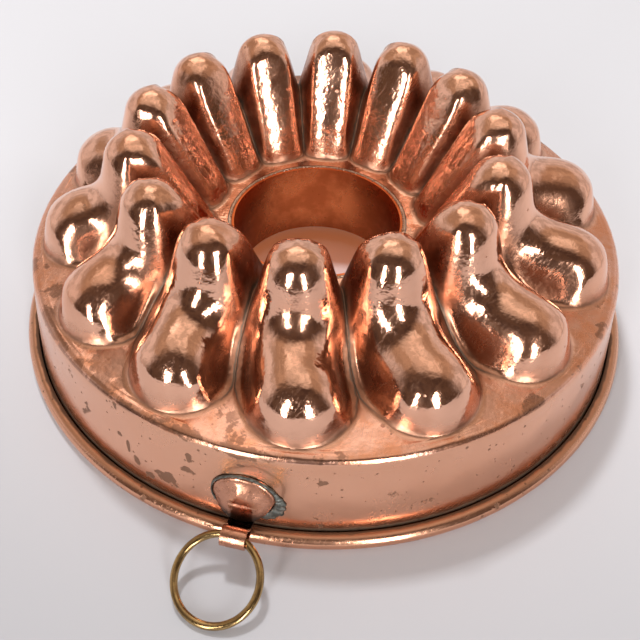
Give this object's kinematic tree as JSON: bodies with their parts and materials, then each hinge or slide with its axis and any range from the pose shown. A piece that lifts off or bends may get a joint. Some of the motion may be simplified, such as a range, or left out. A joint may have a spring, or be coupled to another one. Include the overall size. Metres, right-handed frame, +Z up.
{
  "type": "flan mould",
  "caption": "Ring-shaped copper flan mould with raised lobes round an open central tube, a wired rim and a hinged brass hanging ring",
  "frame": {"origin": "centre of the part's footprint on the table, with the hanging ring leaning on the table", "axes": "+Z up through the raised lobes, the mould's own axis upright, the hanger on the -Y side"},
  "size_m": [0.2498, 0.282, 0.0869],
  "materials": {
    "polished_copper": "polished copper with tarnish in its creases, tinned inside",
    "dull_copper": "matte oxidised copper",
    "iron": "black wire",
    "brazing": "rough brazing",
    "lead_solder": "dull grey solder",
    "brass": "brass wire with an olive patina"
  },
  "bodies": {
    "mould": {"crown": "polished_copper", "side_band": "polished_copper", "rim_wire": "iron", "crown_seam": "brazing", "central_tube": "dull_copper", "tube_seam": "lead_solder", "hanger_strap": "polished_copper", "hanger_plate": "polished_copper", "hanger_solder": "lead_solder"},
    "ring": {"brass_ring": "brass"}
  },
  "joints": [
    {"name": "ring_swing", "type": "hinge", "parent": "mould", "child": "ring", "pos_m": [0, -0.11398, 0.01215], "axis": [-1, 0, 0], "range_deg": [-85, 135]}
  ]
}
